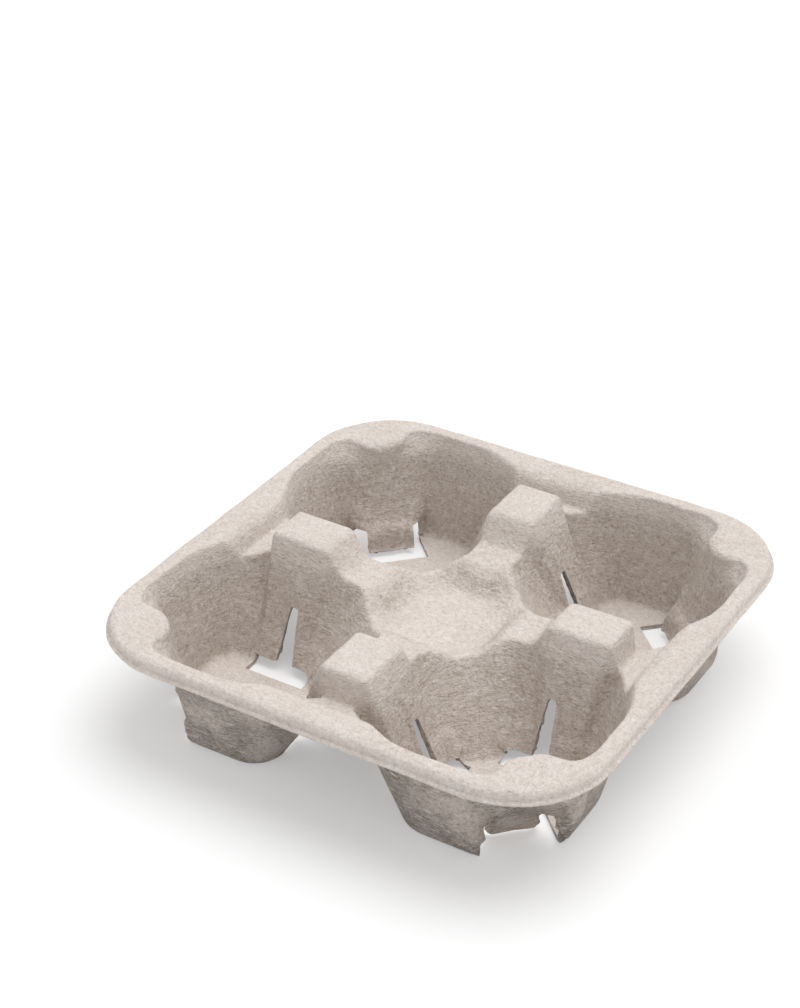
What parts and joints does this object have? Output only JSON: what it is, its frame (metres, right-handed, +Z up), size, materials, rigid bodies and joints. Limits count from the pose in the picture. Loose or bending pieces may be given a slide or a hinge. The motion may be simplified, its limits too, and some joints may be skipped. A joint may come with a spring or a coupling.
{
  "type": "cup carrier",
  "caption": "Square moulded-pulp carrier tray with deep drafted wells for drinks cups, posts between the wells, a sunk middle pad and a rolled rim.",
  "frame": {"origin": "middle of the tray, on the surface that the undersides of the wells' floors stand on", "axes": "+Z up, out of the wells; +X and +Y towards the middles of two neighbouring sides of the rim, along the posts"},
  "size_m": [0.21, 0.21, 0.051],
  "materials": {
    "moulded_pulp": "matte, slightly fibrous"
  },
  "bodies": {
    "root": {"cup_tray": "moulded_pulp"}
  },
  "joints": []
}
